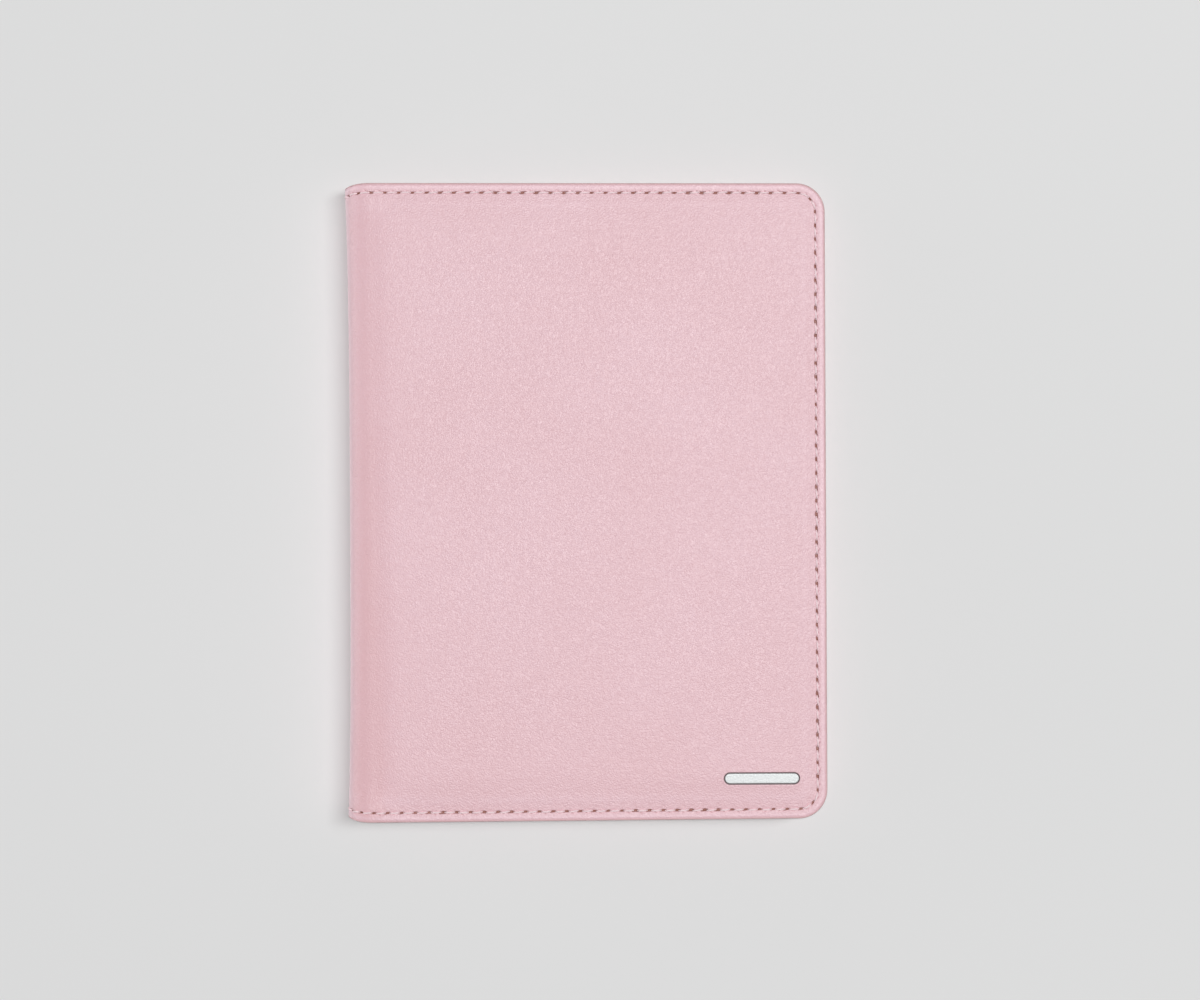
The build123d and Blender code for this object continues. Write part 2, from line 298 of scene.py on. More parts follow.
def outer_level(s, y, t, d):
    """Level of the outer leather's face. t is nan away from the seam."""
    raised = FIRST_RISE * ease(MARGIN - 0.9, MARGIN + SLOPE + 0.2, d)
    raised = raised + (1 - FIRST_RISE) * ease(MARGIN - 0.6, PANEL_REACH, d)
    shoulder = SPINE_SLOPE * (1.15 - 0.45 * np.sin(y / 48.0))    # wider towards the foot
    raised = raised * (0.7 * ease(-3.0, shoulder, s) + 0.3 * ease(-1.0, 2.3 * shoulder, s))
    level = MARGIN_LEVEL * (1 - raised) + EDGE_DROP * (1 - ease(0.0, EDGE_ROUND, d))
    level = level + TROUGH_DEPTH * bell(d, STITCH_INSET, TROUGH_WIDTH)
    groove = GROOVE_DEPTH * bell(from_bend(s), -GROOVE_PAST, GROOVE_WIDTH)
    level = level + groove * ease(MARGIN - 0.9, 8.0, d)
    slow = np.sin(s / 13.0 + y / 31.0) * np.sin(y / 17.0 - s / 41.0) + np.sin(s / 7.3 - y / 23.0) / 3
    level = level + WAVE_DEPTH * (1.34 + slow) * ease(3.0, 9.0, d) * ease(-4.0, 3.0, s)
    # The thread pulls the leather in beside each hole, not everywhere by the same amount.
    near = ~np.isnan(t)
    count = stitch_count(np.where(near, t, 0.0))
    uneven = 0.7 + 0.3 * np.sin(1.9 * count) + 0.2 * np.sin(4.3 * count + 1.0)
    tug = np.cos(2 * math.pi * count) * uneven
    pucker = 0.05 * tug * bell(d, 3.0, 0.6) + 0.022 * tug * bell(d, 1.2, 0.4)
    return level + np.where(near, pucker + HOLE_DEPTH * seam_hole(t, d), 0.0)


def wear_and_painted_light(s, y, d):
    """How the outer leather's colour shifts: above 0 it is lighter, from wear and a painted highlight
    along the cut edge and the panel's rise and from a painted highlight along the spine's back; below 0 it
    is painted shade beside the bend line and towards the foot."""
    # lighter along the panel's rise and the cut edge: wear and a painted highlight
    worn = 0.4 * bell(d, 4.7, 1.0) + 1.4 * bell(d, 0.9, 0.5)
    # a painted highlight along the spine's back
    worn = worn + 2.0 * ease(4.8, 6.6, -s) * (1 - ease(10.0, 11.8, -s))
    # painted shade beside the bend line, stronger towards the foot
    worn = worn - bell(from_bend(s), -1.0, 3.2) * (0.75 - 0.45 * np.sin(y / 42.0))
    # painted shade: darker towards the foot
    return worn - 0.4 * ease(15.0, 66.0, -y)


def pockets_over(y):
    """How many card pockets lie over the sleeve at height y, with soft steps."""
    return sum(1 - ease(mouth, mouth + 0.4, y) for mouth in POCKET_MOUTHS)


def stack_level(s, y, front):
    """Innermost level in the stitched margin, with soft steps at the mouths."""
    mouth = FRONT_MOUTH if front else BACK_MOUTH
    level = LINING_IN + SLEEVE * ease(mouth - 0.4, mouth, s)
    if front:
        level = level + POCKET * pockets_over(y) * ease(mouth - 0.4, mouth, s)
    return level


# ---- flat patterns ------------------------------------------------------------------------
# A pattern is a pair: its points as four arrays, s, y, t and d, and its faces.
FIELD_Y = spaced(STRIP - HALF_HEIGHT, HALF_HEIGHT - STRIP, FIELD_STEP)


def lattice(*fields):
    """A grid of points, given as a 2-D array of each quantity, and its squares."""
    rows, columns = fields[0].shape
    index = np.arange(rows * columns).reshape(rows, columns)
    corners = (index[:-1, :-1], index[1:, :-1], index[1:, 1:], index[:-1, 1:])
    faces = np.stack(corners, -1).reshape(-1, 4)
    flat = [np.broadcast_to(v, fields[0].shape).ravel().astype(float) for v in fields]
    return flat, faces.tolist()


def strip(t_values, rows):
    """The strip of a cover along its seam."""
    t, d = np.meshgrid(t_values, rows)
    return lattice(*along_seam(t, d), t, d)


def field(s_values):
    """A part of the spine away from the seam, drawn in where the spine's ends are."""
    s, y = np.meshgrid(s_values, FIELD_Y)
    y = y * (half_height(s) - STRIP) / (HALF_HEIGHT - STRIP)
    return lattice(s, y, np.nan, inset(s, y))


def filled(loop, inner):
    """Triangles inside a loop of points, using the inner points as well."""
    points = [Vector(p) for p in loop] + [Vector(p) for p in inner]
    edges = [(i, (i + 1) % len(loop)) for i in range(len(loop))]
    found = delaunay_2d_cdt(points, edges, [], 1, 1e-6)
    s, y = np.array([tuple(p) for p in found[0]]).T
    return [s, y, np.full(len(s), np.nan), inset(s, y)], [list(f) for f in found[2]]


def joined(*patterns):
    """Several patterns as one, welded where their points coincide, faces all the same way up.
    Triangulated points are single precision, so all are rounded to it before they are matched."""
    fields = [np.concatenate([points[k] for points, _ in patterns]) for k in range(4)]
    places = [np.round(v.astype(np.float32).astype(float) * 1e4).astype(np.int64) for v in fields[:2]]
    key = places[0] * 10**8 + places[1]
    _, first, new = np.unique(key, return_index=True, return_inverse=True)
    order = np.argsort(first)
    rank = np.empty_like(order)
    rank[order] = np.arange(len(order))
    new = rank[new.ravel()]
    fields = [v[first[order]] for v in fields]
    s, y = fields[0], fields[1]
    joined_faces, start = [], 0
    for points, faces in patterns:
        for face in faces:
            corner = [int(new[start + i]) for i in face]
            corner = [c for i, c in enumerate(corner) if c != corner[i - 1]]
            if len(corner) < 3:
                continue
            area = sum(s[a] * y[b] - s[b] * y[a] for a, b in zip(corner, corner[1:] + corner[:1]))
            joined_faces.append(corner if area > 0 else corner[::-1])
        start += len(points[0])
    return fields, joined_faces


def thinned(points, gap):
    """The points with those left out that share a square of the given size with an earlier one."""
    squares = np.round(np.array(points) / gap).astype(np.int64)
    _, first = np.unique(squares, axis=0, return_index=True)
    return [points[i] for i in np.sort(first)]


def inner_points(fine_to, s_low, y_high=math.inf, rings=True):
    """Points inside a half: rings that follow the seam ever more coarsely, then a grid."""
    points = []
    if rings:
        for d, step in ((5.25, 0.4), (5.7, 0.8), (6.4, 1.5)):
            points += seam_line(np.arange(0.4, SEAM, step), d)
    columns = np.concatenate((np.arange(0.5, fine_to, 0.5), np.arange(fine_to, COVER, 1.7)))
    for s in columns:
        y_end = half_height(s) - (5.3 if s < fine_to else 7.4)
        points += [(s, y) for y in spaced(-y_end, y_end, 1.7)]
    s, y = np.array(points).T
    keep = (inset(s, y) > STRIP + 0.15) & (s > s_low + 0.3) & (y < y_high - 0.3)
    return [tuple(p) for p in np.array(points)[keep]]


def mark_outline(offset):
    """Points round the stamped bar, at an offset outside its edge."""
    straight, radius = FOIL_HALF.x - FOIL_HALF.y, FOIL_HALF.y + offset
    turn = np.linspace(-math.pi / 2, math.pi / 2, 17)
    run = spaced(-straight, straight, 0.3)[1:-1]
    right = [(FOIL_S + straight + radius * math.cos(a), FOIL_Y + radius * math.sin(a)) for a in turn]
    left = [(2 * FOIL_S - s, 2 * FOIL_Y - y) for s, y in right]
    head = [(FOIL_S - r, FOIL_Y + radius) for r in run]
    foot = [(FOIL_S + r, FOIL_Y - radius) for r in run]
    return right + head + left + foot


def marked_points(points):
    """The points with those near the stamped bar replaced by rings round its outline."""
    gaps = mark_distance(*np.array(points).T)
    kept = [p for p, gap in zip(points, gaps) if gap > 1.9]
    for offset in MARK_RINGS:
        kept += mark_outline(offset)
    return kept


def past_bends(bend, flat):
    """Positions along a cover's seam, with a third of the spine at both ends."""
    return np.concatenate((bend[:-1], flat, SEAM - bend[::-1][1:]))


def cover_pattern(steps, rows, inner):
    """One cover with its third of the spine, with steps columns between two stitches."""
    bend = np.linspace(-THIRD, 0, 2 * steps + 1)
    flat = np.linspace(0, SEAM, STITCHES * steps + 1)
    loop = seam_line(flat, STRIP) + [(0.0, y) for y in FIELD_Y[1:-1]]
    return joined(strip(past_bends(bend, flat), rows), field(bend), filled(loop, inner))


def spine_pattern(steps, rows):
    """The middle third of the spine, from head to foot."""
    bend = np.linspace(-2 * THIRD, -THIRD, 2 * steps + 1)
    return joined(strip(bend, rows), strip(SEAM - bend, rows), field(bend))


def leaf_pattern(t_low, t_high, free, s_low, y_high=math.inf, extra=()):
    """A stitched layer: the strip along its seam from t_low to t_high, closed by a free edge."""
    t = spaced(t_low, t_high, PITCH / INNER_STEPS)
    inner = inner_points(3.0, s_low, y_high, rings=False) + list(extra)
    return joined(strip(t, LEAF_ROWS), filled(seam_line(t, STRIP) + free, thinned(inner, 0.3)))


# ---- meshes -------------------------------------------------------------------------------
def make_mesh(name, points, faces, uv, material, **attributes):
    """An object from points in millimetres. uv has one pair for each point."""
    mesh = bpy.data.meshes.new(name)
    mesh.from_pydata((np.asarray(points) * MM).tolist(), [], faces)
    corner = np.zeros(len(mesh.loops), np.int32)
    mesh.loops.foreach_get("vertex_index", corner)
    layer = mesh.uv_layers.new(name="Flat")
    layer.data.foreach_set("uv", (np.asarray(uv, np.float32) * GRAIN_UV)[corner].ravel())
    for key, values in attributes.items():
        made = mesh.attributes.new(key, "FLOAT", "POINT")
        made.data.foreach_set("value", np.asarray(values, np.float32))
    mesh.polygons.foreach_set("use_smooth", [True] * len(mesh.polygons))
    mesh.materials.append(material)
    mesh.update()
    obj = bpy.data.objects.new(name, mesh)
    bpy.context.scene.collection.objects.link(obj)
    return obj


def finish_piece(obj, slot, *nodes, body=None, third=None):
    """Puts a piece on its body, or else bakes its place into its mesh, and hides the nodes it stands for.
    """
    if third is None:
        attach(obj, body)
    else:
        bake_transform(obj)
    if nodes:
        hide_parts(*nodes)


def flat_uv(s, y, front):
    """Flat-pattern position, which runs on from the back cover round the spine to the front."""
    along = -3 * THIRD - s if front else s
    return np.stack((along, y), -1)


def outer_skin(name, pattern, front):
    """A piece of the outer leather's face. The front cover's has the bar's recess."""
    (s, y, t, d), faces = pattern
    level = outer_level(s, y, t, d)
    rim = np.zeros(len(s))
    if front:
        gap = mark_distance(s, y)
        level = level + MARK_RECESS * (1 - ease(0.02, 0.3, gap)) - 0.03 * bell(gap, 0.5, 0.3)
        # a painted shadow in a thin ring along the edge of the stamped bar's recess
        rim = (1 - ease(0.16, 0.34, gap)) * ease(-0.6, -0.05, gap)
    else:
        faces = [f[::-1] for f in faces]
    return make_mesh(
        name, place(s, y, level, front), faces, flat_uv(s, y, front), outer_leather,
        hole=seam_hole(t, d), rim=rim, worn=wear_and_painted_light(s, y, d),
    )


def lining_piece(name, pattern, front):
    """A piece of the lining's inner face, creased beside the bend line."""
    (s, y, t, d), faces = pattern
    dark = seam_hole(t, d)
    ripple = 0.05 * np.sin(s * 1.9 + 0.6 * np.sin(y / 9)) * bell(s, -1.0, math.sqrt(20))
    level = LINING_IN - LINING_GAP - np.abs(ripple * ease(3, 9, d)) - LINING_HOLE_DEPTH * dark
    if front:
        faces = [f[::-1] for f in faces]
    return make_mesh(
        name, place(s, y, level, front), faces, flat_uv(s, y, front), lining, hole=dark
    )


def boundary(faces, count):
    """Directed edges that have a face on their left only."""
    edges = np.array([(f[i - 1], f[i]) for f in faces for i in range(len(f))], np.int64)
    forward, backward = edges[:, 0] * count + edges[:, 1], edges[:, 1] * count + edges[:, 0]
    return edges[~np.isin(forward, backward)]


def outward(edges, s, y):
    """Unit directions away from the faces, for each point of the boundary in order of index."""
    start, end = edges.T
    step = np.stack((y[end] - y[start], s[start] - s[end]), -1)
    step = step / np.linalg.norm(step, axis=1)[:, None]
    away = np.zeros((len(s), 2))
    np.add.at(away, start, step)
    np.add.at(away, end, step)
    away = away[np.unique(edges)]
    return away / np.linalg.norm(away, axis=1)[:, None]


def leaf(name, pattern, base, thick, lift, front):
    """A layer of inner leather as a closed form: two faces and a rounded, painted rim."""
    (s, y, t, d), faces = pattern
    count = len(s)
    dark = seam_hole(t, d)
    if front:
        dark = np.maximum(dark, side_hole(s, y))
    dome = SLEEVE_RISE * ease(MARGIN - 0.2, MARGIN + SLOPE + 0.2, d) + lift(s, y)
    trough = 0.06 * bell(d, STITCH_INSET, 0.45)
    upper = base + thick + dome - trough - INNER_HOLE_DEPTH * dark
    lower = base + dome

    edges = boundary(faces, count)
    rim = np.unique(edges)
    away = outward(edges, s, y)
    middle, half = (upper + lower)[rim] / 2, (upper - lower)[rim] / 2
    all_s, all_y, levels, rings = [s, s], [y, y], [upper, lower], [rim]
    for k in range(1, RIM_STEPS):
        turn = math.pi * k / RIM_STEPS
        all_s.append(s[rim] + RIM_BULGE * math.sin(turn) * away[:, 0])
        all_y.append(y[rim] + RIM_BULGE * math.sin(turn) * away[:, 1])
        levels.append(middle + half * math.cos(turn))
        rings.append(np.arange(len(rim)) + 2 * count + (k - 1) * len(rim))
    rings = np.array(rings + [rim + count])
    a, b = np.searchsorted(rim, edges).T
    quads = np.stack((rings[:-1, a], rings[1:, a], rings[1:, b], rings[:-1, b]), -1)
    quads = quads.transpose(1, 0, 2).reshape(-1, 4)
    above = [f[::-1] if front else f for f in faces]
    around = (quads if front else quads[:, ::-1]).tolist()
    below = [[i + count for i in (f if front else f[::-1])] for f in faces]

    s, y = np.concatenate(all_s), np.concatenate(all_y)
    painted = np.arange(len(s)) >= 2 * count
    hole_depth = np.zeros(len(s))
    hole_depth[:count] = dark
    return make_mesh(
        name, place(s, y, np.concatenate(levels), front), above + around + below,
        flat_uv(s, y, front), inner_leather, hole=hole_depth, rim=np.zeros(len(s)), worn=painted,
    )


def bead(name, t_values, front=False, spine=False):
    """The painted edge: a rounded band over the cut edges of all the layers, lapping the faces."""
    outer = [(LAP, 0.12), (LAP - 0.02, 0.05), (LAP - 0.14, 0.03), (0.16, 0.09), (0.06, 0.2), (0, 0.42)]
    inner = [(0, -0.42), (0.06, -0.2), (0.16, -0.06), (LAP - 0.14, 0.03), (LAP - 0.02, 0.05), (LAP, -0.04)]
    t = np.broadcast_to(t_values, (len(outer + inner), len(t_values)))
    d, past_face = np.array(outer + inner).T[:, :, None] + np.zeros(len(t_values))
    wave = 0.03 * np.sin(t_values / 2.1) * np.sin(t_values / 5.3 + 1) + 0.02 * np.sin(t_values * 1.7)
    d[:3] += wave
    top = np.full(len(t_values), LINING_IN) if spine else stack_level(*along_seam(t_values, 0), front)
    faces_at = np.array([np.full(len(t_values), MARGIN_LEVEL)] * len(outer) + [top] * len(inner))
    around = np.arange(len(t))[:, None] * 0.2
    (s, y, level, t, around), faces = lattice(*along_seam(t, d), faces_at + past_face, t, around)
    if front:
        faces = [f[::-1] for f in faces]
    return make_mesh(
        name, place(s, y, level, front), faces, np.stack((t, around), -1), edge_paint
    )


def threads(name, s, y, level, front, inwards):
    """Twisted thread along each row of centre-line points, given as (stitches, points) arrays."""
    sides, plies, twist = 12, 3, 2.6
    centre = place(s, y, level, front)
    up = place(s, y, level + (0.1 if inwards else -0.1), front) - centre
    up /= np.linalg.norm(up, axis=-1, keepdims=True)
    tangent = np.gradient(centre, axis=1)
    tangent /= np.linalg.norm(tangent, axis=-1, keepdims=True)
    across = np.cross(up, tangent)
    across /= np.linalg.norm(across, axis=-1, keepdims=True)
    up = np.cross(tangent, across)
    length = np.linalg.norm(np.diff(centre, axis=1), axis=-1)
    along = np.concatenate((np.zeros((len(s), 1)), np.cumsum(length, axis=1)), axis=1)
    turn = np.arange(sides) * 2 * math.pi / sides
    phase = plies * (turn[None, None, :] - twist * along[:, :, None])
    radius = THREAD_R * (0.95 + 0.09 * np.cos(phase))
    point = centre[:, :, None] + across[:, :, None] * (radius * np.cos(turn))[..., None]
    point = point + up[:, :, None] * (radius * np.sin(turn))[..., None]
    stitches, rings = s.shape
    index = np.arange(stitches * rings * sides).reshape(stitches, rings, sides)
    following = np.roll(index, -1, axis=2)
    corners = (index[:, :-1], following[:, :-1], following[:, 1:], index[:, 1:])
    faces = np.stack(corners, -1).reshape(-1, 4)
    u = np.broadcast_to(along[:, :, None], phase.shape) + np.arange(stitches)[:, None, None] * 3.7
    v = np.broadcast_to(turn * THREAD_R, phase.shape)
    uv = np.stack((u, v), -1).reshape(-1, 2)
    groove = (0.5 - 0.5 * np.cos(phase)).ravel()
    return make_mesh(name, point.reshape(-1, 3), faces.tolist(), uv, thread, groove=groove)


def stitch_rise(reach):
    """How far a thread's middle is off the face, at each reach from the stitch's middle."""
    return THREAD_UP - THREAD_DIVE * ease(0.5, THREAD_REACH, np.abs(reach))


def seam_threads(name, counts, front, inwards, spine=False):
    """The stitches of a seam whose middles are at counts along it."""
    counts = np.asarray(counts, float)[:, None]
    reach = STITCH_SHAPE * THREAD_REACH * (1 + 0.05 * scatter(counts, 5))
    t = seam_place(counts + reach / PITCH)
    slant = SLANT + 0.05 * scatter(counts, 6)
    d = STITCH_INSET - slant * reach + 0.05 * scatter(counts, 7)
    s, y = along_seam(t, d)
    if inwards:
        face = np.full(s.shape, LINING_IN) if spine else stack_level(s, y, front)
        return threads(name, s, y, face + stitch_rise(reach), front, True)
    face = MARGIN_LEVEL + TROUGH_DEPTH * bell(d, STITCH_INSET, TROUGH_WIDTH)
    return threads(name, s, y, face - stitch_rise(reach), front, False)


# ---- materials ----------------------------------------------------------------------------
def rgb(r, g, b):
    return (r, g, b, 1.0)


LEATHER_BASE = rgb(0.797, 0.548, 0.606)
# a deeper tone for the grain and mottling, also used as painted shade beside the bend line and towards the
# foot
LEATHER_DEEP_AND_SHADE = rgb(0.718, 0.434, 0.46)
# lighter leather for wear and a painted highlight along the cut edge, the panel's rise and the spine's
# back
LEATHER_RUBBED_AND_HIGHLIGHT = rgb(0.91655, 0.6576, 0.7272)
# painted shade in the stitch holes
HOLE_SHADE = rgb(0.27, 0.098, 0.066)
# painted shadow round the stamped bar
STAMPED_RIM_SHADOW = rgb(0.1, 0.09, 0.09)
EDGE_COLOUR = rgb(0.7, 0.46, 0.475)
EDGE_DARK = rgb(0.6, 0.37, 0.375)
EDGE_LIGHT = rgb(0.72, 0.5, 0.51)
# the second thread colour is painted shade between the plies
THREAD_LIGHT, THREAD_GROOVE_SHADE = rgb(0.92, 0.72, 0.76), rgb(0.62, 0.37, 0.39)
THREAD_FIBRE = rgb(0.95, 0.8, 0.83)
# the first cloth colour is painted shade between the lining's threads
CLOTH_WEAVE_SHADE, CLOTH_HIGH = rgb(0.46, 0.27, 0.29), rgb(0.76, 0.53, 0.56)
CLOTH_SLUB, CLOTH_SHADE = rgb(0.82, 0.6, 0.63), rgb(0.62, 0.4, 0.43)
# painted shade in the lining's stitch holes
CLOTH_HOLE_SHADE = rgb(0.13, 0.045, 0.04)
FOIL_COLOUR, FOIL_DULL = rgb(0.46, 0.475, 0.475), rgb(0.36, 0.37, 0.37)
BOARD_DARK, BOARD_LIGHT = rgb(0.42, 0.35, 0.27), rgb(0.6, 0.52, 0.42)
BOARD_FLECK = rgb(0.25, 0.2, 0.15)
FLOOR_COLOUR, FLOOR_SHADE = rgb(0.755, 0.757, 0.757), rgb(0.743675, 0.745645, 0.745645)
CLOTH_THREAD = 0.34      # width of one of the lining's threads


class Shader:
    """A small helper that adds nodes to a material and links them."""

    def __init__(self, name):
        self.material = bpy.data.materials.new(name)
        self.material.use_nodes = True
        self.nodes = self.material.node_tree.nodes
        self.links = self.material.node_tree.links
        self.bsdf = self.nodes["Principled BSDF"]
        self.uv = self.add("ShaderNodeUVMap", uv_map="Flat").outputs["UV"]

    def add(self, kind, inputs=(), **settings):
        node = self.nodes.new(kind)
        for key, value in settings.items():
            setattr(node, key, value)
        for key, value in dict(inputs).items():
            self.put(node.inputs[key], value)
        return node

    def put(self, socket, value):
        if isinstance(value, bpy.types.NodeSocket):
            self.links.new(value, socket)
        else:
            socket.default_value = value

    def noise(self, scale, detail=3.0, roughness=0.55, distortion=0.0, vector=None):
        inputs = {"Vector": vector or self.uv, "Scale": scale, "Detail": detail}
        inputs.update({"Roughness": roughness, "Distortion": distortion})
        return self.add("ShaderNodeTexNoise", inputs).outputs["Fac"]

    def cells(self, scale, vector=None):
        inputs = {"Vector": vector or self.uv, "Scale": scale}
        return self.add("ShaderNodeTexVoronoi", inputs).outputs["Distance"]

    def math(self, operation, a, b=0.0):
        node = self.add("ShaderNodeMath", {0: a, 1: b}, operation=operation)
        return node.outputs[0]

    def total(self, *terms):
        """The sum of value times weight over the terms, which are (value, weight) pairs."""
        products = [self.math("MULTIPLY", value, weight) for value, weight in terms]
        total = products[0]
        for product in products[1:]:
            total = self.math("ADD", total, product)
        return total

    def ranged(self, value, low, high, to_low, to_high):
        inputs = {"Value": value, "From Min": low, "From Max": high}
        inputs.update({"To Min": to_low, "To Max": to_high})
        return self.add("ShaderNodeMapRange", inputs).outputs["Result"]

    def mix(self, share, a, b):
        node = self.add("ShaderNodeMix", {0: share, 6: a, 7: b}, data_type="RGBA")
        return node.outputs[2]

    def tint(self, colour, other, most, value, low, high):
        """Colour with up to most of the other one, growing as value goes from low to high."""
        return self.mix(self.ranged(value, low, high, 0.0, most), colour, other)

    def attribute(self, name):
        return self.add("ShaderNodeAttribute", attribute_name=name).outputs["Fac"]

    def bump(self, height, distance, strength=1.0):
        inputs = {"Height": height, "Distance": distance, "Strength": strength}
        return self.add("ShaderNodeBump", inputs).outputs["Normal"]

    def set(self, **inputs):
        for key, value in inputs.items():
            self.put(self.bsdf.inputs[key.replace("_", " ")], value)
        return self.material


def leather_material(name, roughness, painted=False):
    """Smooth, fine-grained leather: cells of grain, faint mottling, painted shade in the stitch holes and
    a painted shadow round the stamped bar. One attribute makes it lighter for wear and a painted
    highlight, and darker for painted shade; where the leather has painted rims, the same attribute says
    where they are."""
    m = Shader(name)
    warp = m.noise(90.0, 2.0)
    shift = m.add("ShaderNodeVectorMath", {0: (0.004, 0.003, 0.0), "Scale": warp}, operation="SCALE")
    shifted = m.add("ShaderNodeVectorMath", {0: m.uv, 1: shift.outputs[0]}, operation="ADD").outputs[0]
    grain = m.cells(165.0, vector=shifted)
    fine = m.cells(310.0, vector=shifted)
    pores = m.noise(520.0, 2.0)
    broad = m.noise(3.2, 3.0)
    mottle = m.noise(70.0, 3.0, 0.65)
    worn = m.attribute("worn")
    colour = m.tint(LEATHER_BASE, LEATHER_DEEP_AND_SHADE, 0.32, broad, 0.3, 0.7)
    colour = m.tint(colour, LEATHER_DEEP_AND_SHADE, 0.13, mottle, 0.35, 0.65)
    colour = m.tint(colour, LEATHER_DEEP_AND_SHADE, 0.18, grain, 0.25, 0.75)
    colour = m.tint(colour, LEATHER_DEEP_AND_SHADE, 0.22, fine, 0.25, 0.75)
    # lighter where the leather is worn and where a highlight is painted: cut edge, panel's rise, spine's
    # back
    colour = m.tint(colour, LEATHER_RUBBED_AND_HIGHLIGHT, 0.8, worn, 0.2, 2.0)
    # painted shade where the attribute is below 0: beside the bend line and towards the foot
    colour = m.mix(m.ranged(worn, -1.0, 0.0, 0.6, 0.0), colour, LEATHER_DEEP_AND_SHADE)
    # painted shade in the stitch holes
    colour = m.tint(colour, HOLE_SHADE, 0.93, m.attribute("hole"), 0.12, 0.55)
    # painted shadow round the stamped bar's recess
    colour = m.tint(colour, STAMPED_RIM_SHADOW, 0.85, m.attribute("rim"), 0.1, 0.7)
    if painted:
        colour = m.mix(worn, colour, EDGE_COLOUR)
    height = m.total((grain, -0.5), (fine, -1.5), (pores, 0.7), (mottle, 0.25))
    uneven = m.total((mottle, 1.0), (pores, 0.5))
    return m.set(
        Base_Color=colour, Roughness=m.ranged(uneven, 0.4, 1.1, roughness - 0.05, roughness + 0.07),
        Normal=m.bump(height, 0.00005), Specular_IOR_Level=0.55, Sheen_Weight=0.3, Sheen_Roughness=0.25,
    )


def edge_material():
    """Satin edge paint, a little uneven along the edge."""
    m = Shader("edge_paint")
    uneven = m.noise(28.0, 3.0)
    fine = m.noise(260.0, 2.0)
    colour = m.tint(EDGE_COLOUR, EDGE_DARK, 0.5, uneven, 0.35, 0.65)
    colour = m.tint(colour, EDGE_LIGHT, 0.25, fine, 0.4, 0.7)
    normal = m.bump(m.total((uneven, 1.0), (fine, 0.4)), 0.00006, 0.7)
    return m.set(Base_Color=colour, Roughness=m.ranged(fine, 0.3, 0.7, 0.4, 0.55), Normal=normal)


def thread_material():
    """Bonded, twisted sewing thread: painted shade between the plies, with fine fibres."""
    m = Shader("thread")
    fibres = m.noise(900.0, 2.0, distortion=0.6)
    # painted shade in the grooves between the plies
    colour = m.tint(THREAD_LIGHT, THREAD_GROOVE_SHADE, 0.55, m.attribute("groove"), 0.55, 1.0)
    colour = m.tint(colour, THREAD_FIBRE, 0.3, fibres, 0.4, 0.7)
    normal = m.bump(fibres, 0.00003, 0.6)
    return m.set(Base_Color=colour, Roughness=0.5, Normal=normal, Sheen_Weight=0.25, Sheen_Roughness=0.35)


def lining_material():
    """Plain-woven lining: crossing threads with painted shade between them, slubs, painted shade in the
    stitch holes and a soft sheen.
    """
    m = Shader("lining")
    split = m.add("ShaderNodeSeparateXYZ", {0: m.uv})
    per_unit = 1 / (GRAIN_UV * CLOTH_THREAD)
    wobble = m.math("MULTIPLY", m.noise(60.0, 2.0), 0.004)
    u = m.math("MULTIPLY", m.math("ADD", split.outputs[0], wobble), per_unit)
    v = m.math("MULTIPLY", m.math("SUBTRACT", split.outputs[1], wobble), per_unit)
    warp = m.math("ABSOLUTE", m.math("SINE", m.math("MULTIPLY", u, math.pi)))
    weft = m.math("ABSOLUTE", m.math("SINE", m.math("MULTIPLY", v, math.pi)))
    over = m.math("PINGPONG", m.math("ADD", m.math("FLOOR", u), m.math("FLOOR", v)), 1.0)
    under = m.math("SUBTRACT", 1.0, over)
    height = m.math("ADD", m.math("MULTIPLY", warp, over), m.math("MULTIPLY", weft, under))
    slub = m.noise(22.0, 3.0)
    # painted shade between the threads of the weave
    colour = m.tint(CLOTH_WEAVE_SHADE, CLOTH_HIGH, 1.0, height, 0.1, 0.9)
    colour = m.tint(colour, CLOTH_SLUB, 0.18, slub, 0.35, 0.65)
    colour = m.tint(colour, CLOTH_SHADE, 0.15, m.noise(4.0, 2.0), 0.3, 0.7)
    # painted shade in the stitch holes
    colour = m.tint(colour, CLOTH_HOLE_SHADE, 0.9, m.attribute("hole"), 0.12, 0.55)
    normal = m.bump(m.total((height, 1.0), (slub, 0.6)), 0.00005, 0.8)
    return m.set(Base_Color=colour, Roughness=0.75, Normal=normal, Sheen_Weight=0.3, Sheen_Roughness=0.5)


def foil_material():
    """Stamped silver foil: satin, slightly grainy, with the leather's grain showing through."""
    m = Shader("foil")
    fine = m.noise(420.0, 3.0)
    colour = m.tint(FOIL_COLOUR, FOIL_DULL, 0.5, fine, 0.45, 0.75)
    normal = m.bump(m.total((m.cells(160.0), -0.8), (fine, 0.4)), 0.00002, 0.6)
    rough = m.ranged(fine, 0.3, 0.7, 0.5, 0.62)
    return m.set(Base_Color=colour, Metallic=0.85, Roughness=rough, Normal=normal)


def board_material():
    """Grey-brown board: flecked pulp with long fibres. CAD nodes have no flat pattern."""
    m = Shader("board")
    where = m.add("ShaderNodeTexCoord").outputs["Object"]
    pulp = m.noise(900.0, 4.0, vector=where)
    fleck = m.cells(2600.0, vector=where)
    colour = m.tint(BOARD_DARK, BOARD_LIGHT, 1.0, pulp, 0.35, 0.65)
    colour = m.mix(m.ranged(fleck, 0.0, 0.25, 0.6, 0.0), colour, BOARD_FLECK)
    return m.set(Base_Color=colour, Roughness=0.85, Normal=m.bump(pulp, 0.00008, 0.6))


def floor_material():
    """Plain pale floor, shaded very slightly."""
    m = Shader("floor")
    shade = m.noise(2.0, 2.0, vector=m.add("ShaderNodeTexCoord").outputs["Object"])
    colour = m.tint(FLOOR_COLOUR, FLOOR_SHADE, 1.0, shade, 0.3, 0.7)
    return m.set(Base_Color=colour, Roughness=0.9, Specular_IOR_Level=0.1)


